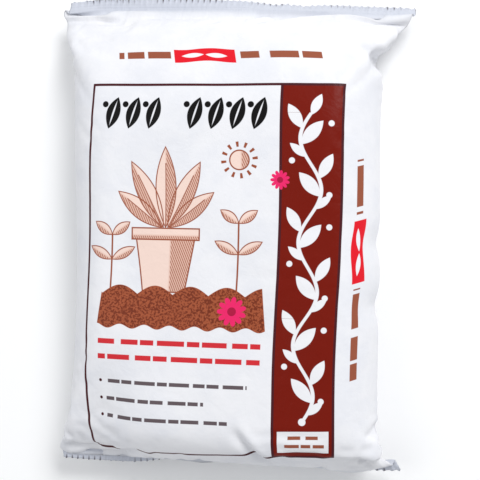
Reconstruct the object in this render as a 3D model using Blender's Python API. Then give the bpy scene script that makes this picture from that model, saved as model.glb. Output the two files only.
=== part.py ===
"""Filled pillow bag of garden soil, lying on its back.

The bag is a flat film tube, heat sealed straight across both ends and filled with damp loose
soil. It is sealed and full, so film and contents are one solid body. The bag's length runs
along Y with its top seal towards +Y, its printed face looks up along +Z, and the origin is on
the ground under the middle of its outline.
"""
import math

import bmesh
import bpy

# driving dimensions, metres
FILM_WIDTH = 0.430        # flat width of the film tube, from side fold to side fold
FILLED_LENGTH = 0.542     # between the two heat seals, with the bag full
SEAL_DEPTH = 0.014        # width of the sealed strip beyond each seal line
SEAL_THICKNESS = 0.0012   # two layers of film welded together
FILLED_HEIGHT = 0.120     # highest point of the full bag above the ground

# how the contents lie: packed square against the bottom seal, thinning out under the top one
BOTTOM_RAMP = 0.095       # length over which the bag rises from the bottom seal to its full height
TOP_RAMP = 0.215          # the same from the top seal
UNDER_RAMP = 0.060        # length over which the underside comes down from a seal to the ground
BOTTOM_SEAL_HEIGHT = 0.036
TOP_SEAL_HEIGHT = 0.030
FACE_CROWN = 0.006        # rise of the printed face between its edges

# resolution of the loft
SIDE_SEGMENTS = 8         # steps round each rounded side
FACE_SEGMENTS = 16        # steps across the face and the back
BODY_RINGS = 44           # sections between the two seal lines

FILM_COLOUR = (0.82, 0.83, 0.85, 1.0)


def swell(distance, ramp):
    """How full the bag is, 0 to 1, at a distance inwards from a seal."""
    closeness = max(0.0, 1.0 - distance / ramp)
    return math.sqrt(1.0 - closeness ** 2.4)


def section_size(y):
    """Width, lowest and highest point of the bag's cross-section at a station y."""
    from_bottom = y + FILLED_LENGTH / 2
    from_top = FILLED_LENGTH / 2 - y
    fullness = swell(from_bottom, BOTTOM_RAMP) * swell(from_top, TOP_RAMP)
    along = from_bottom / FILLED_LENGTH
    seal_height = BOTTOM_SEAL_HEIGHT * (1 - along) + TOP_SEAL_HEIGHT * along
    touching = swell(from_bottom, UNDER_RAMP) * swell(from_top, UNDER_RAMP)
    low = seal_height * (1 - touching)
    high = seal_height + (FILLED_HEIGHT - seal_height) * fullness
    high = max(high, low + SEAL_THICKNESS)
    # the film cannot stretch: a rounded side takes up width that the flat tube had
    height = high - low
    width = FILM_WIDTH - (math.pi / 2 - 1) * (height - SEAL_THICKNESS)
    return width, low, high


def section_points(width, low, high):
    """Closed outline of one section in X and Z: flat back, rounded sides, crowned face."""
    radius = (high - low) / 2
    middle = (high + low) / 2
    crown = FACE_CROWN * min(1.0, (high - low) / FILLED_HEIGHT)
    flat_half = width / 2 - radius
    points = []
    for i in range(FACE_SEGMENTS):
        points.append((flat_half * (2 * i / FACE_SEGMENTS - 1), low))
    for i in range(SIDE_SEGMENTS):
        angle = -math.pi / 2 + math.pi * i / SIDE_SEGMENTS
        points.append((flat_half + radius * math.cos(angle), middle + radius * math.sin(angle)))
    for i in range(FACE_SEGMENTS):
        points.append((flat_half * (1 - 2 * i / FACE_SEGMENTS), high))
    for i in range(SIDE_SEGMENTS):
        angle = math.pi / 2 + math.pi * i / SIDE_SEGMENTS
        points.append((-flat_half + radius * math.cos(angle), middle + radius * math.sin(angle)))
    # the face is highest along its middle and falls away to its edges
    shaped = []
    for x, z in points:
        share = (z - low) / (high - low)
        shaped.append((x, z - crown * share ** 2 * (2 * x / width) ** 2))
    return shaped


def stations():
    """Y of every section, closer together near the seals, where the shape turns quickly."""
    half = FILLED_LENGTH / 2
    body = [-half * math.cos(math.pi * i / BODY_RINGS) for i in range(BODY_RINGS + 1)]
    return [-half - SEAL_DEPTH] + body + [half + SEAL_DEPTH]


def make_bag(name, collection):
    mesh = bmesh.new()
    rings = []
    for y in stations():
        inside = min(max(y, -FILLED_LENGTH / 2), FILLED_LENGTH / 2)
        outline = section_points(*section_size(inside))
        rings.append([mesh.verts.new((x, y, z)) for x, z in outline])
    count = len(rings[0])
    for ring, following in zip(rings, rings[1:]):
        for i in range(count):
            j = (i + 1) % count
            mesh.faces.new((ring[i], ring[j], following[j], following[i]))
    mesh.faces.new(rings[0])
    mesh.faces.new(rings[-1])
    bmesh.ops.recalc_face_normals(mesh, faces=mesh.faces)
    data = bpy.data.meshes.new(name)
    mesh.to_mesh(data)
    mesh.free()
    data.shade_smooth()
    data.set_sharp_from_angle(angle=math.radians(50))
    bag = bpy.data.objects.new(name, data)
    collection.objects.link(bag)
    return bag


def make_film_material():
    material = bpy.data.materials.new("white_film")
    material.use_nodes = True
    shader = material.node_tree.nodes["Principled BSDF"]
    shader.inputs["Base Color"].default_value = FILM_COLOUR
    shader.inputs["Roughness"].default_value = 0.35
    shader.inputs["Metallic"].default_value = 0.0
    return material


def main():
    for item in list(bpy.data.objects):
        bpy.data.objects.remove(item)
    collection = bpy.data.collections.new("soil_bag")
    bpy.context.scene.collection.children.link(collection)
    bag = make_bag("filled_bag", collection)
    bag.data.materials.append(make_film_material())


main()
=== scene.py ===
import math

import bpy
import numpy as np
from mathutils import Matrix, Vector


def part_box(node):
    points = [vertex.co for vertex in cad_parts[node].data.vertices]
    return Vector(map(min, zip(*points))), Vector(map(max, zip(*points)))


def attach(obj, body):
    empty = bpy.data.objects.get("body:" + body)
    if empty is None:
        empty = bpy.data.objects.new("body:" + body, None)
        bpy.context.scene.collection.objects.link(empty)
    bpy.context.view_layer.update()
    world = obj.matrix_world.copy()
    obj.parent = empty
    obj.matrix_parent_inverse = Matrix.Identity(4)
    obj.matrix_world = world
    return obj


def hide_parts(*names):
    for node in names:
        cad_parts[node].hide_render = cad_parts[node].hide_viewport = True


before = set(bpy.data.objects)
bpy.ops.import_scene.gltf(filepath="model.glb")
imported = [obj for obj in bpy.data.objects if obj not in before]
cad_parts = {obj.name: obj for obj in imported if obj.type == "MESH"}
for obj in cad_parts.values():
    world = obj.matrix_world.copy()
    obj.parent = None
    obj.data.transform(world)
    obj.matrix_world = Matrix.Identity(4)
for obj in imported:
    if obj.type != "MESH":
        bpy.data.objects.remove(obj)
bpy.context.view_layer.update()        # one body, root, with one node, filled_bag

bagLow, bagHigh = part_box("filled_bag")
scene = bpy.context.scene
scene.view_settings.view_transform = "Standard"


def smooth(share):       # 0 to 1 with soft ends, for numbers and arrays
    share = np.clip(share, 0.0, 1.0)
    return share * share * (3 - 2 * share)


# camera: looks straight down on the printed face, a little from the bag's right side
cameraSetup = {
    "turn": 12.0,        # degrees round the bag's long axis
    "roll": 1.3,
    "distance": 1.5,
    "frameWidth": 0.576, # width of the view at the bag, metres
    "aim": (0.0156, -0.0036, 0.05),
}


def makeCamera(setup):
    turn, roll = math.radians(setup["turn"]), math.radians(setup["roll"])
    back = Vector((math.sin(turn), 0, math.cos(turn)))
    side = Vector((0, 1, 0)).cross(back).normalized()
    up = back.cross(side)
    right = side * math.cos(roll) + up * math.sin(roll)
    up = up * math.cos(roll) - side * math.sin(roll)
    lens = bpy.data.cameras.new("camera")
    lens.sensor_width = 36
    lens.lens = lens.sensor_width * setup["distance"] / setup["frameWidth"]
    camera = bpy.data.objects.new("camera", lens)
    scene.collection.objects.link(camera)
    place = Matrix((right, up, back)).transposed().to_4x4()
    place.translation = Vector(setup["aim"]) + back * setup["distance"]
    camera.matrix_world = place
    scene.camera = camera
    print("camera ready")


# pale floor and soft studio light from the upper right
studio = {
    "floorSize": 9.0,
    "floorColour": (0.96, 0.96, 0.96, 1),
    "keyPlace": (1.7, 2.2, 3.0), "keySize": 1.5, "keyPower": 103,
    "fillPlace": (-1.8, 0.2, 2.6), "fillSize": 2.4, "fillPower": 17,
    "skyColour": (0.95, 0.97, 1.0, 1), "skyStrength": 0.55,
}


def makeLamp(name, place, size, power):
    lamp = bpy.data.lights.new(name, "AREA")
    lamp.size = size
    lamp.energy = power
    item = bpy.data.objects.new(name, lamp)
    scene.collection.objects.link(item)
    aim = (-Vector(place)).to_track_quat("-Z", "Y").to_matrix().to_4x4()
    aim.translation = Vector(place)
    item.matrix_world = aim


def makeStudio(setup):
    half = setup["floorSize"] / 2
    data = bpy.data.meshes.new("studio_floor")
    corners = [(-half, -half, 0), (half, -half, 0), (half, half, 0), (-half, half, 0)]
    data.from_pydata(corners, [], [(0, 1, 2, 3)])
    floor = bpy.data.objects.new("studio_floor", data)
    scene.collection.objects.link(floor)
    finish = bpy.data.materials.new("studio_floor")
    finish.use_nodes = True
    shader = finish.node_tree.nodes["Principled BSDF"]
    shader.inputs["Base Color"].default_value = setup["floorColour"]
    shader.inputs["Roughness"].default_value = 0.9
    data.materials.append(finish)
    makeLamp("key_light", setup["keyPlace"], setup["keySize"], setup["keyPower"])
    makeLamp("fill_light", setup["fillPlace"], setup["fillSize"], setup["fillPower"])
    sky = bpy.data.worlds.new("studio_sky")
    scene.world = sky
    sky.use_nodes = True
    glow = sky.node_tree.nodes["Background"]
    glow.inputs["Color"].default_value = setup["skyColour"]
    glow.inputs["Strength"].default_value = setup["skyStrength"]
    print("studio ready")


makeCamera(cameraSetup)
makeStudio(studio)

# the film tube laid flat, its two heat seals, and how the soil lies inside
film = {
    "width": 0.427,                 # from side fold to side fold
    "length": 0.610,                # between the seal lines, along the film
    "sealDepth": 0.014,
    "sealGap": 0.542,               # between the seal lines, straight across the full bag
    "height": bagHigh.z - bagLow.z - 0.002,
    "bottomSealHeight": 0.045,
    "topSealHeight": 0.040,
    "cell": 0.0078,                 # mesh size of the simulated film
    "finRows": 2,                   # simulated rows in each sealed strip
    "gather": 0.985,                # the seals are a little narrower than the flat film
}
soil = {
    "bottomRamp": 0.050, "bottomStart": 0.55,      # packed square against the bottom seal
    "topRamp": 0.150, "topStart": 0.38,            # thins out under the top seal
    "leftLow": 0.028,                              # hollow in the bottom left corner
    "rightLow": 0.010, "topLow": 0.016,
    "crown": 0.004,
    "lump": 0.0011,                                # soft lumps of soil behind the face
    "margin": 0.003,                               # film starts this far under the press
}


def sealHeight(y):
    share = np.clip(y / film["sealGap"] + 0.5, 0, 1)
    return film["bottomSealHeight"] * (1 - share) + film["topSealHeight"] * share


def rise(distance, ramp, start):
    far = np.clip(1 - distance / ramp, 0, 1)
    return start + (1 - start) * np.sqrt(1 - far ** 2.2)


def soilHeight(x, y):
    # top of the soil above the floor, at a place on the bag
    fromBottom = y + film["sealGap"] / 2
    fromTop = film["sealGap"] / 2 - y
    z = film["height"] * rise(fromBottom - 0.002, soil["bottomRamp"], soil["bottomStart"])
    z = z * rise(fromTop - 0.004, soil["topRamp"], soil["topStart"])
    z = z - soil["leftLow"] * smooth((-x - 0.07) / 0.11) * smooth((0.17 - fromBottom) / 0.15)
    z = z - soil["rightLow"] * smooth((x - 0.12) / 0.07) * smooth((0.05 - fromBottom) / 0.05)
    z = z - soil["topLow"] * smooth((np.abs(x) - 0.07) / 0.11) * smooth((0.10 - fromTop) / 0.09)
    z = z - soil["crown"] * (x / 0.18) ** 2
    across = np.sin(x * 37 + 1.3 * np.sin(y * 23))
    along = np.sin(y * 31 + 0.7 + 1.1 * np.sin(x * 19))
    z = z + soil["lump"] * across * along
    nearSeal = 1 - smooth((np.minimum(fromBottom, fromTop) - 0.012) / 0.03)
    return np.maximum(z, (sealHeight(y) + 0.012) * nearSeal)


def bottomSealPoint(u, depth):
    side = u / (film["width"] / 2)
    tip = smooth((side - 0.70) / 0.30)             # the right end of the seal curls up the bag
    x = u * (film["gather"] - 0.025) + 0.0015
    y = -film["sealGap"] / 2 - depth + 0.014 * tip - 0.006 * side * (1 - smooth((side - 0.7) / 0.3))
    y = y + 0.004 * (1 - side * side)
    z = film["bottomSealHeight"] + 0.003 * math.sin(u * 21 + 0.5)
    return x, y, z


def topSealPoint(u, depth):
    side = u / (film["width"] / 2)
    tip = smooth((-side - 0.78) / 0.22)            # the left end lifts and draws in
    x = u * film["gather"] + 0.006
    y = film["sealGap"] / 2 + depth - 0.006 * side - 0.004 * tip + 0.003 * (1 - side * side)
    z = film["topSealHeight"] + 0.003 * math.sin(u * 17 + 1.0) + 0.008 * tip
    return x, y, z


def startShape():
    # the film wrapped round the full bag, as grids of points for the face and the back
    width, length, half = film["width"], film["length"], film["sealGap"] / 2
    fin = film["finRows"]
    columns, rows = round(width / film["cell"]), round(length / film["cell"])
    us = np.linspace(-width / 2, width / 2, columns + 1)
    ys = np.linspace(-half, half, 2001)
    fromSeal = np.minimum(ys + half, half - ys)
    line = soilHeight(0 * ys, ys) - 0.004
    line = sealHeight(ys) * (1 - smooth(fromSeal / 0.03)) + line * smooth(fromSeal / 0.03)
    path = np.concatenate([[0], np.cumsum(np.hypot(np.diff(ys), np.diff(line)))])
    rowY = np.interp(np.linspace(0, path[-1], rows + 1), path, ys)
    face = np.zeros((columns + 1, rows + 1 + 2 * fin, 3))
    back = np.zeros_like(face)
    for j, y in enumerate(rowY):
        high = np.interp(y, ys, line)
        low = sealHeight(y) * (1 - smooth(min(y + half, half - y) / 0.06))
        thick = max(high - low, 1e-5)
        radius = thick / 2
        span = width - (math.pi / 2 - 1) * thick   # the rounded sides take up width
        for i, u in enumerate(us):
            inwards = width / 2 - abs(u)
            if inwards < math.pi * radius / 2:
                x = span / 2 - radius * (1 - math.cos(inwards / radius))
                lift = radius * math.sin(inwards / radius)
            else:
                x = span / 2 - radius - (inwards - math.pi * radius / 2)
                lift = radius
            x = math.copysign(x, u)
            face[i, j + fin] = (x, y, low + radius + lift)
            back[i, j + fin] = (x, y, low + radius - lift)
    for k in range(fin + 1):
        depth = film["sealDepth"] * k / fin
        for i, u in enumerate(us):
            face[i, fin - k] = back[i, fin - k] = bottomSealPoint(u, depth)
            face[i, rows + fin + k] = back[i, rows + fin + k] = topSealPoint(u, depth)
    return us, face, back


def numberPoints(shape):
    # vertex numbers: the face and the back share the side folds and the sealed strips
    fin, (columns, rows) = film["finRows"], shape
    faceIds = np.arange(columns * rows).reshape(columns, rows)
    backIds = faceIds.copy()
    inner = backIds[1:-1, fin + 1:rows - fin - 1]
    inner[:] = columns * rows + np.arange(inner.size).reshape(inner.shape)
    return faceIds, backIds, columns * rows + inner.size


def gridQuads(ids):
    return np.stack([ids[:-1, :-1], ids[1:, :-1], ids[1:, 1:], ids[:-1, 1:]], -1).reshape(-1, 4)


def filmThreads(us, faceIds, backIds):
    # pairs of points that the film holds apart, their distance in the flat film and its weight
    fin = film["finRows"]
    rows = faceIds.shape[1] - 2 * fin
    body = np.linspace(0, film["length"], rows)
    strip = film["sealDepth"] * np.arange(1, fin + 1) / fin
    vs = np.concatenate([-strip[::-1], body, film["length"] + strip])
    pairs, lengths, weights = [], [], []
    for ids in (faceIds, backIds):
        for across, along, weight in ((1, 0, 1.0), (0, 1, 1.0), (1, 1, 0.5), (1, -1, 0.5)):
            if along < 0:
                first, second = ids[:-1, 1:], ids[1:, :-1]
            else:
                first = ids[:ids.shape[0] - across, :ids.shape[1] - along]
                second = ids[across:, along:]
            stepU = (us[1] - us[0]) * across
            stepV = np.diff(vs) * abs(along) if along else np.zeros(ids.shape[1])
            length = np.hypot(stepU, stepV)[None, :] * np.ones(first.shape)
            pairs.append(np.stack([first.ravel(), second.ravel()], 1))
            lengths.append(length.ravel())
            weights.append(np.full(first.size, weight))
    return np.concatenate(pairs), np.concatenate(lengths), np.concatenate(weights)


def settle(points, threads, held, quads, steps=150, push=0.0001):
    # swells the film gently against the soil while its threads keep their length
    pairs, lengths, weights = threads
    first, second = pairs[:, 0], pairs[:, 1]
    count = len(points)
    share = np.bincount(first, weights, count) + np.bincount(second, weights, count)
    free = (~held).astype(float)[:, None]
    for step in range(steps):
        corner = points[quads]
        normal = np.cross(corner[:, 2] - corner[:, 0], corner[:, 3] - corner[:, 1])
        out = np.zeros_like(points)
        for k in range(4):
            for axis in range(3):
                out[:, axis] += np.bincount(quads[:, k], normal[:, axis], count)
        out /= np.maximum(np.linalg.norm(out, axis=1), 1e-12)[:, None]
        points = points + out * free * push * (1 - step / steps)
        for _ in range(6):
            gap = points[second] - points[first]
            span = np.linalg.norm(gap, axis=1)
            pull = gap * (0.5 * weights * (span - lengths) / np.maximum(span, 1e-9))[:, None]
            move = [np.bincount(first, pull[:, a], count) - np.bincount(second, pull[:, a], count)
                    for a in range(3)]
            points = points + 1.5 * np.stack(move, 1) / share[:, None] * free
        roof = soilHeight(points[:, 0], points[:, 1]) - soil["margin"]
        inside = np.clip(points[:, 2], 0.0005, np.maximum(roof, 0.02))
        points[:, 2] = np.where(held, points[:, 2], inside)
    return points


# Blender's cloth lets the film find its folds between the floor and the soil's upper surface
clothSetup = {
    "frames": 30,
    "quality": 5,
    "mass": 0.02,
    "tension": 100, "compression": 20, "shear": 15, "bending": 0.5,
    "pressure": 15,
    "gravity": 0.2,
    "tipHold": 0.4,       # how firmly the seals' ends are held, against 1 in between
    "tipShare": 0.86,
    "pressStep": 61,
    "standOff": 0.0034,   # gap that the solver keeps between film and guides
}


def makeCollider(name, points, quads):
    data = bpy.data.meshes.new(name)
    data.from_pydata(points.tolist(), [], quads.tolist())
    item = bpy.data.objects.new(name, data)
    scene.collection.objects.link(item)
    item.modifiers.new("collision", "COLLISION")
    item.collision.thickness_outer = 0.002
    item.collision.cloth_friction = 3
    return item


def inflate(points, quads, faceIds):
    fin = film["finRows"]
    rows = faceIds.shape[1]
    data = bpy.data.meshes.new("film_cloth")
    data.from_pydata(points.tolist(), [], quads.tolist())
    item = bpy.data.objects.new("film_cloth", data)
    scene.collection.objects.link(item)
    pressed = item.vertex_groups.new(name="pressed")
    inStrip = set(faceIds[:, :fin + 1].ravel()) | set(faceIds[:, rows - fin - 1:].ravel())
    pressed.add([i for i in range(len(points)) if i not in inStrip], 1.0, "REPLACE")
    sealed = item.vertex_groups.new(name="sealed")
    for j in (fin, rows - 1 - fin):
        for i, side in enumerate(np.abs(np.linspace(-1, 1, faceIds.shape[0]))):
            hold = 1.0 if side < clothSetup["tipShare"] else clothSetup["tipHold"]
            sealed.add([int(faceIds[i, j])], hold, "REPLACE")
    steps = clothSetup["pressStep"]
    xs, ys = np.meshgrid(np.linspace(-0.30, 0.30, steps), np.linspace(-0.36, 0.36, steps), indexing="ij")
    cells = gridQuads(np.arange(steps * steps).reshape(steps, steps))
    roof = np.stack([xs, ys, soilHeight(xs, ys)], -1).reshape(-1, 3)
    ground = np.stack([xs, ys, 0 * xs - clothSetup["standOff"]], -1).reshape(-1, 3)
    guides = [makeCollider("soil_press", roof, cells[:, ::-1]), makeCollider("ground_press", ground, cells)]
    cloth = item.modifiers.new("cloth", "CLOTH")
    settings = cloth.settings
    settings.quality = clothSetup["quality"]
    settings.mass = clothSetup["mass"]
    settings.tension_stiffness = clothSetup["tension"]
    settings.compression_stiffness = clothSetup["compression"]
    settings.shear_stiffness = clothSetup["shear"]
    settings.bending_stiffness = clothSetup["bending"]
    settings.air_damping = 2
    settings.use_pressure = True
    settings.uniform_pressure_force = clothSetup["pressure"]
    settings.vertex_group_pressure = "pressed"
    settings.vertex_group_mass = "sealed"
    settings.effector_weights.gravity = clothSetup["gravity"]
    cloth.collision_settings.distance_min = 0.002
    cloth.collision_settings.use_self_collision = False
    cloth.point_cache.frame_start = 1
    cloth.point_cache.frame_end = clothSetup["frames"]
    scene.frame_start, scene.frame_end = 1, clothSetup["frames"]
    for number in range(1, clothSetup["frames"] + 1):
        scene.frame_set(number)
    result = item.evaluated_get(bpy.context.evaluated_depsgraph_get())
    flatList = np.empty(len(points) * 3, np.float32)
    result.data.vertices.foreach_get("co", flatList)
    bpy.data.objects.remove(item)
    for guide in guides:
        bpy.data.objects.remove(guide)
    scene.frame_set(1)
    return flatList.reshape(-1, 3).astype(float)


def shapeFilm():
    us, face, back = startShape()
    faceIds, backIds, count = numberPoints(face.shape[:2])
    fin = film["finRows"]
    points = np.zeros((count, 3))
    points[backIds.ravel()] = back.reshape(-1, 3)
    points[faceIds.ravel()] = face.reshape(-1, 3)
    held = np.zeros(count, bool)
    held[faceIds[:, :fin + 1].ravel()] = True
    held[faceIds[:, -fin - 1:].ravel()] = True
    quads = np.concatenate([gridQuads(faceIds), gridQuads(backIds[:, fin:backIds.shape[1] - fin])[:, ::-1]])
    dither = np.random.default_rng(7).normal(0, 0.0003, points.shape)
    points = points + np.where(held[:, None], 0, dither)
    points = settle(points, filmThreads(us, faceIds, backIds), held, quads)
    print("film wrapped,", count, "points")
    points = inflate(points, quads, faceIds)
    print("film inflated")
    return points[faceIds], points[backIds]


# the finished film mesh: finer than the simulation, two layers in the seals, one closed skin
skin = {
    "columnStep": 0.0025,
    "rowStep": 0.0036,
    "sealRows": 16,
    "halfWeld": 0.0005,       # half the thickness of a sealed strip
}


def cubicAt(values, where, closed):
    # Catmull-Rom curve through values along their first axis, at fractional indices
    base = np.floor(where).astype(int)
    t = (where - base).reshape((-1,) + (1,) * (values.ndim - 1))
    count = len(values)
    picks = []
    for shift in (-1, 0, 1, 2):
        index = base + shift
        index = index % count if closed else np.clip(index, 0, count - 1)
        picks.append(values[index])
    a, b, c, d = picks
    return b + 0.5 * t * (c - a + t * (2 * a - 5 * b + 4 * c - d + t * (3 * (b - c) + d - a)))


def refineFilm(face, back):
    # one ring of points round the tube for each row: across the face, then back under the bag
    fin = film["finRows"]
    ring = np.concatenate([face, back[-2:0:-1]])
    columns = face.shape[0] - 1
    fine = round(film["width"] / skin["columnStep"])
    ring = cubicAt(ring, np.arange(2 * fine) * columns / fine, True)
    bodyRows = face.shape[1] - 1 - 2 * fin
    fineRows = round(film["length"] / skin["rowStep"])
    strip = np.arange(skin["sealRows"]) / skin["sealRows"] * fin
    body = fin + np.arange(fineRows + 1) * bodyRows / fineRows
    where = np.concatenate([strip, body, fin + bodyRows + strip + fin / skin["sealRows"]])
    where = np.minimum(where, 2 * fin + bodyRows)
    ring = cubicAt(np.swapaxes(ring, 0, 1), where, False)
    ring = np.swapaxes(ring, 0, 1)
    # flat coordinates of every point: s round the tube from the left fold, v from the bottom seal
    s = np.arange(2 * fine) * film["width"] / fine
    cell = film["length"] / bodyRows
    stripCell = film["sealDepth"] / fin
    v = np.where(where < fin, (where - fin) * stripCell,
                 np.where(where > fin + bodyRows,
                          film["length"] + (where - fin - bodyRows) * stripCell,
                          (where - fin) * cell))
    return ring, s, v, fine


def outward(ring):
    # unit normals of the tube; the sealed strips get the normal of their own side
    normal = np.cross(np.roll(ring, -1, 0) - np.roll(ring, 1, 0), np.gradient(ring, axis=1))
    return normal / np.maximum(np.linalg.norm(normal, axis=2), 1e-12)[..., None]


def splitWeld(ring, v, fine):
    # the two layers of the sealed strips stand a film's thickness apart
    index = np.arange(2 * fine)
    fromFold = np.minimum(index % fine, fine - index % fine)
    share = np.minimum(fromFold, 1.0)[:, None]
    inSeal = smooth((-v + 0.002) / 0.002) + smooth((v - film["length"] + 0.002) / 0.002)
    return ring + outward(ring) * (skin["halfWeld"] * share * inSeal[None, :])[..., None]


# folds too local for the simulation, in flat coordinates: u across from the middle, v up
folds = [
    {"start": (0.018, 0.100), "end": (0.066, 0.030), "depth": 0.0060, "width": 0.0065},   # pleat, bottom
    {"start": (0.172, 0.060), "end": (0.190, 0.022), "depth": 0.004, "width": 0.006},
    {"start": (0.150, 0.536), "end": (0.200, 0.524), "depth": 0.005, "width": 0.006},     # by the notch
    {"start": (-0.190, 0.590), "end": (-0.120, 0.580), "depth": 0.0030, "width": 0.006},  # left dog ear
]
bumps = [
    # place on the tube (s from the left fold, v), reach round and along, and the shift of the film
    {"place": (0.427, 0.524), "reach": (0.036, 0.013), "shift": (-0.016, 0.0, -0.004)},   # right notch
    {"place": (0.427, 0.578), "reach": (0.024, 0.012), "shift": (-0.006, -0.002, 0.0)},
    {"place": (0.427, 0.618), "reach": (0.020, 0.012), "shift": (0.003, 0.0, 0.0)},       # right ear
    {"place": (0.0, 0.598), "reach": (0.020, 0.011), "shift": (-0.009, -0.002, 0.002)},   # left dog ear
    {"place": (0.427, 0.308), "reach": (0.040, 0.016), "shift": (-0.0050, 0.0, 0.0)},     # dents, right side
    {"place": (0.427, 0.235), "reach": (0.040, 0.016), "shift": (-0.0055, 0.0, 0.0)},
    {"place": (0.427, 0.085), "reach": (0.030, 0.010), "shift": (-0.004, 0.0, 0.0)},
    {"place": (0.427, 0.030), "reach": (0.030, 0.020), "shift": (-0.014, 0.0, 0.0)},      # over the low ear
    {"place": (0.427, -0.014), "reach": (0.022, 0.009), "shift": (0.006, -0.004, 0.0)},
]
pose = {
    "lean": -0.0085,           # the upper half of the full bag leans to its left
    "leanFrom": -0.060, "leanOver": 0.230,
    "sealTurn": 60.0,          # degrees that the bottom strip hangs down from level, right of its middle
    "turnFrom": -0.130, "turnOver": 0.070,
    "stepUp": 0.0035,          # where the pleat draws the strip up
}


def leanBag(ring, v):
    # slow sideways lean, and the bottom strip turned down about its seal line
    y = ring[..., 1]
    share = smooth((y - pose["leanFrom"]) / pose["leanOver"]) * (1 - 0.75 * smooth((y - 0.245) / 0.025))
    ring[..., 0] += pose["lean"] * share * (1 - 0.45 * smooth(ring[..., 0] / 0.16))
    strip = np.nonzero(v < 0)[0]
    line = ring[:, strip[-1] + 1]
    x = line[:, 0]
    angle = math.radians(pose["sealTurn"]) * smooth((x - pose["turnFrom"]) / pose["turnOver"])
    angle = angle * (1 - 0.6 * smooth((x - 0.15) / 0.05))
    for row in strip:
        out = ring[:, row] - line
        turnedY = out[:, 1] * np.cos(angle) - out[:, 2] * np.sin(angle)
        turnedZ = out[:, 2] * np.cos(angle) + out[:, 1] * np.sin(angle)
        ring[:, row, 1] = line[:, 1] + turnedY
        ring[:, row, 2] = line[:, 2] + turnedZ
    nearSeal = 1 - smooth((v + 0.004) / 0.020)
    x = ring[..., 0]
    ring[..., 1] += pose["stepUp"] * nearSeal * smooth((x - 0.028) / 0.006) * (1 - smooth((x - 0.036) / 0.06))
    return ring


def addFolds(ring, s, v):
    u = (s - film["width"] / 2)[:, None] + 0 * v[None, :]
    v = v[None, :] + 0 * u
    normal = outward(ring)
    for fold in folds:
        start, end = np.array(fold["start"]), np.array(fold["end"])
        length = np.linalg.norm(end - start)
        along = (end - start) / length
        t = ((u - start[0]) * along[0] + (v - start[1]) * along[1]) / length
        side = (u - start[0]) * -along[1] + (v - start[1]) * along[0]
        taper = smooth(t / 0.35) * smooth((1.15 - t) / 0.35)
        groove = np.exp(-(side / fold["width"]) ** 2)
        ridge = 0.45 * np.exp(-((side - 1.7 * fold["width"]) / fold["width"]) ** 2)
        ring = ring - normal * (fold["depth"] * taper * (groove - ridge))[..., None]
    around = 2 * film["width"]
    for bump in bumps:
        gap = np.abs(s[:, None] - bump["place"][0])
        gap = np.minimum(gap, around - gap) / bump["reach"][0]
        far = np.exp(-gap ** 2 - ((v - bump["place"][1]) / bump["reach"][1]) ** 2)
        ring = ring + far[..., None] * np.array(bump["shift"])
    return ring


def addNumbers(data, name, values):
    data.attributes.new(name, "FLOAT", "POINT").data.foreach_set("value", values.astype(np.float32))


def skinMesh(ring, s, v, fine):
    columns, rows = ring.shape[:2]
    ids = np.arange(columns * rows).reshape(columns, rows)
    closed = np.concatenate([ids, ids[:1]])
    quads = [tuple(q) for q in gridQuads(closed)]
    sheetS = np.concatenate([s, [2 * film["width"]]])
    spots = np.stack(np.meshgrid(sheetS, v, indexing="ij"), -1)
    corners = np.stack([spots[:-1, :-1], spots[1:, :-1], spots[1:, 1:], spots[:-1, 1:]], 2).reshape(-1, 2)
    corners = corners.tolist()
    for row, order in ((0, 1), (rows - 1, -1)):       # cut edges of the two strips
        for i in range(fine):
            across = [ids[i, row], ids[-i % columns, row], ids[(-i - 1) % columns, row], ids[i + 1, row]]
            places = [(s[i], v[row])] * 2 + [(s[i] + s[1], v[row])] * 2
            if i == 0:
                del across[1], places[1]
            elif i == fine - 1:
                del across[2], places[2]
            quads.append(tuple(across[::order]))
            corners += places[::order]
    data = bpy.data.meshes.new("printed_film")
    data.from_pydata(ring.reshape(-1, 3).tolist(), [], [tuple(int(k) for k in q) for q in quads])
    sheet = data.uv_layers.new(name="filmSheet")
    spots = np.array(corners, np.float32)
    sheet.data.foreach_set("uv", (spots - np.array([film["width"] / 2, 0])).astype(np.float32).ravel())
    bake = data.uv_layers.new(name="OFBake")
    total = film["length"] + 2 * film["sealDepth"]
    u = spots[:, 0] / film["width"]
    loops = [p.loop_total for p in data.polygons]
    isFace = [spots[p.loop_start:p.loop_start + p.loop_total, 0].max() < film["width"] + 1e-6
              for p in data.polygons]
    isFace = np.repeat(isFace, loops)
    packed = np.where(isFace, 0.005 + 0.67 * u, 0.685 + 0.31 * (u - 1))
    height = 0.005 + 0.99 * (spots[:, 1] + film["sealDepth"]) / total
    bake.data.foreach_set("uv", np.stack([packed, height], 1).astype(np.float32).ravel())
    depth = np.maximum(-v, v - film["length"])
    addNumbers(data, "weldDepth", np.tile(np.maximum(depth, 0), columns))
    addNumbers(data, "roundTube", np.repeat(s, rows))
    addNumbers(data, "endSign", np.tile(np.sign(v - film["length"] / 2), columns))
    addNumbers(data, "layer", np.repeat(np.where(s <= film["width"], 1.0, -1.0), rows))
    data.validate()
    data.update()
    return data


face, back = shapeFilm()
ring, sheetS, sheetV, fine = refineFilm(face, back)
ring = leanBag(ring, sheetV)
ring = addFolds(ring, sheetS, sheetV)
ring = splitWeld(ring, sheetV, fine)
filmMesh = skinMesh(ring, sheetS, sheetV, fine)
bagFilm = bpy.data.objects.new("printed_film", filmMesh)
scene.collection.objects.link(bagFilm)
print("film skin made,", len(filmMesh.polygons), "faces")


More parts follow.
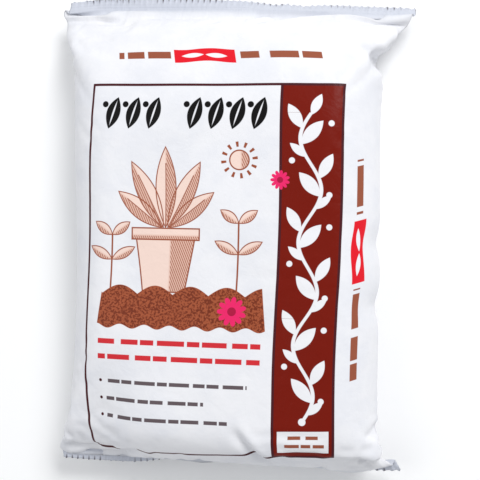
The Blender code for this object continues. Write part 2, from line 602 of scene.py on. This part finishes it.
# shader maths as plain expressions: a Value is one number at every point of the surface
class Value:
    def __init__(self, maker, socket):
        self.maker, self.socket = maker, socket

    def __add__(self, other):
        return self.maker.sum("ADD", self, other)

    def __sub__(self, other):
        return self.maker.sum("SUBTRACT", self, other)

    def __rsub__(self, other):
        return self.maker.sum("SUBTRACT", other, self)

    def __mul__(self, other):
        return self.maker.sum("MULTIPLY", self, other)

    def __truediv__(self, other):
        return self.maker.sum("DIVIDE", self, other)

    def __rtruediv__(self, other):
        return self.maker.sum("DIVIDE", other, self)

    def __pow__(self, other):
        return self.maker.sum("POWER", self, other)

    def __neg__(self):
        return self * -1.0

    def __abs__(self):
        return self.maker.sum("ABSOLUTE", self)

    def __mod__(self, other):
        return self.maker.sum("FLOORED_MODULO", self, other)

    __radd__ = __add__
    __rmul__ = __mul__


class Maker:
    # makes nodes in one tree; sockets are given by name or number
    def __init__(self, tree):
        self.tree = tree

    def node(self, kind, settings=None, inputs=None, output=0):
        made = self.tree.nodes.new(kind)
        for name, value in (settings or {}).items():
            if name == "stops":
                self.setStops(made.color_ramp, value)
            else:
                setattr(made, name, value)
        for name, value in (inputs or {}).items():
            self.feed(made.inputs[name], value)
        return Value(self, made.outputs[output]) if len(made.outputs) else made

    def feed(self, socket, value):
        if isinstance(value, Value):
            self.tree.links.new(value.socket, socket)
        else:
            socket.default_value = value

    def setStops(self, ramp, stops):
        while len(ramp.elements) < len(stops):
            ramp.elements.new(0.5)
        for element, (place, colour) in zip(ramp.elements, stops):
            element.position = place
            element.color = colour

    def sum(self, operation, *values, clamp=False):
        settings = {"operation": operation, "use_clamp": clamp}
        return self.node("ShaderNodeMath", settings, dict(enumerate(values)))

    def sin(self, value):
        return self.sum("SINE", value)

    def least(self, first, *others):
        for other in others:
            first = self.sum("MINIMUM", first, other)
        return first

    def most(self, first, *others):
        for other in others:
            first = self.sum("MAXIMUM", first, other)
        return first

    def length(self, x, y):
        return self.sum("SQRT", x * x + y * y)

    def step(self, value, low, high):
        return self.node("ShaderNodeMapRange", {"interpolation_type": "SMOOTHSTEP"},
                         {"Value": value, "From Min": low, "From Max": high})

    def cover(self, inside, soft=0.5):
        # 0 to 1 from a distance inside a printed shape, in millimetres
        return self.sum("MULTIPLY_ADD", inside, 1 / soft, 0.5, clamp=True)

    def mix(self, factor, first, second):
        return self.node("ShaderNodeMix", {"data_type": "RGBA"},
                         {"Factor": factor, "A": first, "B": second}, "Result")

    def noise(self, place, scale, detail=3.0, rough=0.5, distortion=0.0, kind="FBM"):
        return self.node("ShaderNodeTexNoise", {"noise_type": kind},
                         {"Vector": place, "Scale": scale, "Detail": detail, "Roughness": rough,
                          "Distortion": distortion})


# printed shapes, each as the distance inside it, in millimetres on the flat film
def boxShape(m, x, y, left, right, bottom, top):
    wide = (right - left) / 2 - abs(x - (left + right) / 2)
    tall = (top - bottom) / 2 - abs(y - (bottom + top) / 2)
    return m.least(wide, tall)


def turned(x, y, centre, angle):
    # coordinates about a centre, with the first along a direction in degrees
    c, s = math.cos(math.radians(angle)), math.sin(math.radians(angle))
    x, y = x - centre[0], y - centre[1]
    return x * c + y * s, y * c - x * s


def discShape(m, x, y, centre, radius):
    return radius - m.length(x - centre[0], y - centre[1])


def leafShape(m, x, y, centre, angle, length, width):
    # pointed leaf with its middle at centre
    along, side = turned(x, y, centre, angle)
    along = along * (2 / length)
    return (1 - along * along) * (width / 2) - abs(side)


def stalkShape(m, x, y, start, angle, length, width):
    along, side = turned(x, y, start, angle)
    return m.least(width / 2 - abs(side), length / 2 - abs(along - length / 2))


def outline(m, inside, width):
    return width / 2 - abs(inside)


def petalShape(m, x, y, centre, radius, petals):
    # round blossom: petals as lobes round the middle
    x, y = x - centre[0], y - centre[1]
    angle = m.sum("ARCTAN2", y, x)
    lobe = abs(m.sin(angle * (petals / 2)))
    return (0.55 + 0.45 * lobe ** 0.6) * radius - m.length(x, y)


def wordRow(m, x, y, left, right, middle, height, pace, shift):
    # plain bars of uneven length
    beat = m.sin(x * pace + 1.3 * m.sin(x * (pace * 0.41) + 2.1 * shift) + shift)
    gaps = (beat + 0.88) * (1 / (0.47 * pace))
    return m.least(gaps, boxShape(m, x, y, left, right, middle - height / 2, middle + height / 2))


def fromSrgb(red, green, blue):
    def linear(level):
        level = level / 255
        return level / 12.92 if level <= 0.04045 else ((level + 0.055) / 1.055) ** 2.4
    return (linear(red), linear(green), linear(blue), 1.0)


# where the print lies on the flat film, in millimetres: x from its middle, y up from the bottom seal
layout = {
    "frame": (-157, 139, 52, 484), "frameLine": 3.0,
    "shift": 8.0, "shiftOver": (150.0, 430.0),
    "bandLeft": 69,
    "label": (76, 134, 60, 87),
    "title": (-139, 57), "titleMiddle": 451, "titleHeight": 37,
    "red": (187, 169), "redSides": (-139, 55), "redHeight": 6.0,
    "dots": (140, 119, 98), "dotX": -137, "rowLeft": -130, "rowRights": (41, -9, 19), "rowHeight": 4.4,
    "vineFoot": 104, "vinePitch": 116,
    "topRow": 521, "sideColumn": 162, "stripHeight": 9.0,
}
inks = {
    "film": fromSrgb(233, 233, 236),
    "filmDull": fromSrgb(226, 227, 232),
    # painted shade for the ends of the bag, where the film turns down into the seals
    "sealPaintedShade": fromSrgb(188, 193, 206),
    # soil dust and painted shade in the troughs of the crimped seals
    "sealDustAndShade": fromSrgb(96, 92, 100),
    "frame": fromSrgb(72, 26, 32),
    "band": fromSrgb(116, 20, 4),
    "black": fromSrgb(10, 8, 9),
    "sienna": fromSrgb(150, 78, 52),
    "soil": fromSrgb(162, 84, 54),
    "soilDark": fromSrgb(116, 50, 30),
    "blush": fromSrgb(238, 212, 200),
    "tan": fromSrgb(205, 148, 124),
    "pink": fromSrgb(232, 40, 104),
    "pinkDark": fromSrgb(170, 24, 64),
    "red": fromSrgb(206, 46, 54),
    "ribbon": fromSrgb(222, 28, 42),
    "grey": fromSrgb(96, 84, 88),
    "brown": fromSrgb(150, 84, 62),
}


def titleMark(m, x, y):
    # seven slanted leaves in two groups, each with a round bud
    left, right = layout["title"]
    pitch = (right - left) / 8
    middle, height = layout["titleMiddle"], layout["titleHeight"]
    local = (x - left) % pitch - pitch / 2
    leaf = leafShape(m, local, y, (1.5, middle), 72, height * 1.04, 16.5)
    vein = leafShape(m, local, y, (1.5, middle), 72, height * 0.8, 2.0)
    bud = discShape(m, local, y, (-8.2, middle + height * 0.27), 3.6)
    row = m.most(m.least(leaf, -vein), bud)
    gap = abs(x - (left + pitch * 3.5)) - pitch / 2
    return m.least(row, boxShape(m, x, y, left, right, middle - height, middle + height), gap)


def bandVine(m, x, y):
    # white climbing stem with leaves on both sides, up the dark band
    left, right = layout["bandLeft"], layout["frame"][1]
    centre = (left + right) / 2
    foot, pitch, repeats, swing = layout["vineFoot"], layout["vinePitch"], 3, 12.0
    head = foot + repeats * pitch
    stem = 1.7 - abs(x - centre - swing * m.sin((y - foot) * (2 * math.pi / pitch))) * 0.8
    local = (y - foot) % pitch
    whole, carried = [stem], []
    for rise, angle, length, width in ((22, 132, 36, 15), (42, 62, 32, 13), (80, 48, 36, 15),
                                       (98, 120, 32, 13), (8, 40, 24, 9), (66, 140, 24, 9)):
        lean = math.radians(angle)
        startX = centre + swing * math.sin(rise * 2 * math.pi / pitch)
        middle = (startX + math.cos(lean) * length / 2, rise + math.sin(lean) * length / 2)
        whole.append(leafShape(m, x, local, middle, angle, length, width))
        if middle[1] + length / 2 > pitch:             # the part that reaches into the next repeat
            carried.append(leafShape(m, x, local, (middle[0], middle[1] - pitch), angle, length, width))
    for bud in ((centre + 21, 24), (centre - 21, 62), (centre + 22, 104)):
        whole.append(discShape(m, x, local, bud, 3.4))
    whole = m.least(m.most(*whole), (y - foot) * 9 - 2, (head - y) * 9 - 2)
    carried = m.least(m.most(*carried), (y - foot - pitch) * 9 - 2, head + 40 - y)
    ends = m.most(discShape(m, x, y, (centre, foot), 4.2), leafShape(m, x, y, (centre + 5, head + 9), 66, 26, 11))
    return m.most(whole, carried, ends)


def picture(m, x, y):
    # pot plant, two seedlings and a sun over a ridged bed: outlines, a pale wash and a shaded half
    lines, wash, shade = [], [], []

    def drawn(shape, darkSide, line=1.3):
        lines.append(outline(m, shape, line))
        wash.append(shape)
        shade.append(m.least(shape, darkSide))

    def drawnLeaf(foot, angle, length, width):
        lean = math.radians(angle)
        middle = (foot[0] + math.cos(lean) * length / 2, foot[1] + math.sin(lean) * length / 2)
        side = turned(x, y, middle, angle)[1]
        drawn(leafShape(m, x, y, middle, angle, length, width), side if angle > 100 else -side)

    potX, potFoot, potTop = -62, 246, 306
    wall = 25 + (y - potFoot) * 0.16 - abs(x - potX)
    drawn(m.least(wall, boxShape(m, x, y, potX - 60, potX + 60, potFoot, potTop)), x - potX - 6, 1.6)
    drawn(boxShape(m, x, y, potX - 40, potX + 40, potTop, potTop + 13), potTop + 5 - y, 1.6)
    for angle, length, width in ((90, 92, 24), (63, 84, 22), (117, 84, 22), (38, 66, 20), (142, 66, 20)):
        lean = math.radians(angle)
        foot = (potX + 6 * math.cos(lean), potTop + 14)
        drawnLeaf(foot, angle, length, width)
        lines.append(stalkShape(m, x, y, foot, angle, length * 0.8, 1.1))
    for seedX, tall in ((-126, 66), (24, 82)):
        lines.append(stalkShape(m, x, y, (seedX, 246), 90, tall, 2.0))
        for angle, share in ((35, 0.98), (145, 0.98), (28, 0.55), (152, 0.55)):
            drawnLeaf((seedX, 246 + tall * share), angle, 30 * (1.25 - 0.4 * share), 11)
    sun = (24, 398)
    drawn(discShape(m, x, y, sun, 11), x - sun[0] - 2, 1.6)
    rayX, rayY = x - sun[0], y - sun[1]
    spoke = m.sin(m.sum("ARCTAN2", rayY, rayX) * 12) - 0.55
    lines.append(m.least(spoke * 3, 3 - abs(m.length(rayX, rayY) - 18)))
    return m.most(*lines), m.most(*wash), m.most(*shade)


def soilBed(m, x, y):
    # ridges of soil seen end on
    ridge = 243 + 10 * abs(m.sin((x + 8) * 0.074))
    sides = 98 - abs(x + 41) - (y - 225) * 0.12
    return m.least(ridge - y, y - 205 - 2.5 * m.sin(x * 0.21), sides)


def filmPrint(m, sheet, place):
    # layers of ink over white film; returns the colour and where ink lies
    split = m.node("ShaderNodeSeparateXYZ", None, {0: sheet})
    node = split.socket.node
    x = Value(m, node.outputs["X"]) * 1000
    y = Value(m, node.outputs["Y"]) * 1000
    x = x - layout["shift"] * m.step(y, *layout["shiftOver"])      # the print is a little askew
    left, right, bottom, top = layout["frame"]
    cloud = m.noise(place, 22.0, 4.0, 0.6)
    colour = m.mix(m.step(cloud, 0.35, 0.7), inks["film"], inks["filmDull"])
    # painted shade: the film turning down into each seal, and the sealed strips themselves, are mixed towards a
    # bluish grey
    ends = m.most(-1 * y, y - film["length"] * 1000)
    colour = m.mix(m.step(ends, -16.0, 2.0) * 0.75, colour, inks["sealPaintedShade"])
    # dark flecks along the crimp's waves in the sealed strips: partly soil dust, partly painted shade in the troughs
    pressed = m.step(m.sin(x * (math.pi / 3.75)), 0.55, 0.95) * m.step(ends, 6.5, 12.5)
    colour = m.mix(pressed * m.step(m.noise(place, 38.0, 2.0, 0.5), 0.4, 0.6), colour, inks["sealDustAndShade"])
    speckle = m.noise(place, 420.0, 2.0, 0.6)
    lines, wash, shade = picture(m, x, y)
    bed = soilBed(m, x, y)
    clods = m.step(speckle, 0.46, 0.56)
    strokes = 0.45 - abs((x + y * 0.45) % 2.6 - 1.3)
    hatch = m.least(strokes, shade - 0.8)
    slope = 0.06 * x * (1 - m.step(y, 70.0, 300.0))                # its foot follows the bag's slope
    band = boxShape(m, x, y - slope, layout["bandLeft"], right, bottom, top)
    labelSides = layout["label"]
    label = boxShape(m, x, y - slope, *labelSides)
    frameBox = boxShape(m, x + m.least(x, 0.0) * 0.04 * m.step(y, 380.0, 490.0), y - slope, left, right, bottom, top)
    frameLine = outline(m, frameBox, layout["frameLine"])
    divider = m.least(band, 2.0 - abs(x - layout["bandLeft"] - 1.0))
    redRows = m.most(*[wordRow(m, x, y, *layout["redSides"], middle, layout["redHeight"], 0.24, 1.0 + k * 2.3)
                       for k, middle in enumerate(layout["red"])])
    greyRows = m.most(*[wordRow(m, x, y, layout["rowLeft"], end, middle, layout["rowHeight"], 0.30, 0.4 + k)
                        for k, (middle, end) in enumerate(zip(layout["dots"], layout["rowRights"]))])
    dots = m.most(*[discShape(m, x, y, (layout["dotX"], middle), 1.9) for middle in layout["dots"]])
    labelRows = m.most(wordRow(m, x, y - slope, 88, 122, 79, 4.2, 0.34, 0.6),
                       wordRow(m, x, y - slope, 81, 129, 69, 4.2, 0.34, 2.0))
    high, thick = layout["topRow"], layout["stripHeight"]
    lean = x + (y - high) * 0.25
    topWords = m.most(wordRow(m, lean, y, -126, -62, high, thick, 0.17, 0.5),
                      wordRow(m, lean, y, 20, 112, high, thick, 0.17, 2.9))
    topRibbon = boxShape(m, lean, y + 1.5 * m.sin(x * 0.09), -58, 14, high - 8.5, high + 8.5)
    topSprig = m.most(leafShape(m, x, y, (-36, high), 6, 26, 6), leafShape(m, x, y, (-8, high), -6, 26, 6))
    beside = layout["sideColumn"]
    slant = y - (x - beside) * 0.25
    sideWords = m.most(wordRow(m, slant, x, 340, 402, beside, thick, 0.17, 1.2),
                       wordRow(m, slant, x, 152, 256, beside, thick, 0.17, 0.3))
    sideRibbon = boxShape(m, slant, x + 1.5 * m.sin(y * 0.09), 262, 333, beside - 8.5, beside + 8.5)
    sideSprig = m.most(leafShape(m, x, y, (beside, 283), 84, 26, 6), leafShape(m, x, y, (beside, 311), 96, 26, 6))
    blossoms = m.most(petalShape(m, x, y, (20, 226), 17, 11), petalShape(m, x, y, (70, 376), 11, 11))
    hearts = m.most(discShape(m, x, y, (20, 226), 5), discShape(m, x, y, (70, 376), 3.4))
    inkShare = None
    for shape, ink in (
            (wash, inks["blush"]), (hatch, inks["sienna"]), (lines, inks["sienna"]), (bed, inks["soil"]),
            (titleMark(m, x, y), inks["black"]), (redRows, inks["red"]), (greyRows, inks["grey"]),
            (dots, inks["frame"]), (m.most(topWords, sideWords), inks["brown"]),
            (m.most(topRibbon, sideRibbon), inks["ribbon"]), (m.most(topSprig, sideSprig), inks["film"]),
            (band, inks["band"]), (bandVine(m, x, y), inks["film"]), (label, inks["film"]),
            (labelRows, inks["brown"]), (m.most(frameLine, divider), inks["frame"]),
            (blossoms, inks["pink"]), (hearts, inks["pinkDark"])):
        cover = m.cover(shape)
        colour = m.mix(cover, colour, ink)
        if ink != inks["film"]:
            inkShare = cover if inkShare is None else m.most(inkShare, cover)
        if shape is wash:
            colour = m.mix(m.cover(shade, 3.0) * 0.55, colour, inks["tan"])
        if shape is bed:
            colour = m.mix(m.cover(bed - 0.6) * clods, colour, inks["soilDark"])
    return colour, inkShare, x, y


def makeFilmFinish():
    finish = bpy.data.materials.new("printed_film")
    finish.use_nodes = True
    tree = finish.node_tree
    tree.nodes.clear()
    m = Maker(tree)
    place = Value(m, m.node("ShaderNodeTexCoord").socket.node.outputs["Object"])
    sheet = m.node("ShaderNodeUVMap", {"uv_map": "filmSheet"})
    colour, inked, x, y = filmPrint(m, sheet, place)
    # soft crinkles all over, soil pressing through, and pulled creases beside the seals
    crinkle = m.noise(place, 34.0, 5.0, 0.55, 0.6)
    grains = m.noise(place, 210.0, 2.0, 0.5)
    drawn = m.node("ShaderNodeCombineXYZ", None, {0: x * 0.14, 1: y * 0.012})
    pulled = m.noise(drawn, 1.0, 3.0, 0.5, 0.3)
    ends = 1 - m.step(m.least(y, film["length"] * 1000 - y), 5.0, 75.0)
    height = crinkle * 1.0 + grains * 0.16 + pulled * ends * 1.1
    bump = m.node("ShaderNodeBump", None, {"Strength": 0.55, "Distance": 0.0022, "Height": height})
    sheen = 0.36 + 0.14 * m.noise(place, 60.0, 3.0, 0.5) - 0.05 * inked
    shader = m.node("ShaderNodeBsdfPrincipled", None, {
        "Base Color": colour, "Roughness": sheen, "Normal": bump, "IOR": 1.5,
        "Specular IOR Level": 0.1, "Coat Weight": 0.05, "Coat Roughness": 0.22})
    m.node("ShaderNodeOutputMaterial", None, {"Surface": shader})
    print("film finish ready,", len(tree.nodes), "nodes")
    return finish


filmMesh.materials.append(makeFilmFinish())


# heat seal pressed into ribs, with a toothed cut edge, over each sealed strip
crimp = {
    "Rib height": 0.00035,
    "Rib pitch": 0.0035,
    "Wave height": 0.0011,
    "Wave pitch": 0.0075,
    "Tooth depth": 0.0018,
    "Tooth pitch": 0.005,
    "Seal depth": film["sealDepth"],
}


def crimpTree(finish):
    tree = bpy.data.node_groups.new("seal_crimp", "GeometryNodeTree")
    tree.interface.new_socket("Geometry", in_out="INPUT", socket_type="NodeSocketGeometry")
    tree.interface.new_socket("Geometry", in_out="OUTPUT", socket_type="NodeSocketGeometry")
    for name in crimp:
        tree.interface.new_socket(name, in_out="INPUT", socket_type="NodeSocketFloat")
    m = Maker(tree)
    given = m.node("NodeGroupInput").socket.node
    size = {name: Value(m, given.outputs[name]) for name in crimp}

    def named(name):
        return m.node("GeometryNodeInputNamedAttribute", {"data_type": "FLOAT"}, {"Name": name}, "Attribute")

    depth, roundTube, end, layer = [named(name) for name in ("weldDepth", "roundTube", "endSign", "layer")]
    across = abs(roundTube - film["width"])        # the same on both layers
    edge = size["Seal depth"]
    inStrip = m.step(depth, 0.0003, 0.0012) * (1 - m.step(depth, edge - 0.0022, edge - 0.0012))
    rib = (m.sin(depth / size["Rib pitch"] * (2 * math.pi)) * 0.5 + 0.5) * size["Rib height"] * inStrip
    wave = m.sin(across / size["Wave pitch"] * (2 * math.pi)) * size["Wave height"] * layer
    wave = wave * m.step(depth, 0.002, edge * 0.75)
    lift = m.node("ShaderNodeVectorMath", {"operation": "SCALE"},
                  {0: m.node("GeometryNodeInputNormal"), "Scale": rib + wave})
    tooth = abs((across / size["Tooth pitch"]) % 1.0 - 0.5) * 2
    atEdge = m.step(depth, edge - 0.0006, edge)
    cut = m.node("ShaderNodeCombineXYZ", None, {1: -1 * tooth * size["Tooth depth"] * atEdge * end})
    shift = m.node("ShaderNodeVectorMath", {"operation": "ADD"}, {0: lift, 1: cut})
    moved = m.node("GeometryNodeSetPosition", None, {"Geometry": Value(m, given.outputs["Geometry"]),
                                                     "Offset": shift})
    real = m.node("GeometryNodeRealizeInstances", None, {"Geometry": moved})
    done = m.node("GeometryNodeSetMaterial", None, {"Geometry": real, "Material": finish})
    m.node("NodeGroupOutput", None, {"Geometry": done})
    return tree


def crimpSeals(item):
    modifier = item.modifiers.new("seal_crimp", "NODES")
    modifier.node_group = crimpTree(item.data.materials[0])
    for socket in modifier.node_group.interface.items_tree:
        if socket.in_out == "INPUT" and socket.name in crimp:
            modifier[socket.identifier] = crimp[socket.name]
    made = item.evaluated_get(bpy.context.evaluated_depsgraph_get())
    mesh = bpy.data.meshes.new_from_object(made)
    item.modifiers.remove(modifier)
    item.data = mesh
    mesh.shade_smooth()
    print("seals crimped")


crimpSeals(bagFilm)
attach(bagFilm, "root")
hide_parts("filled_bag")
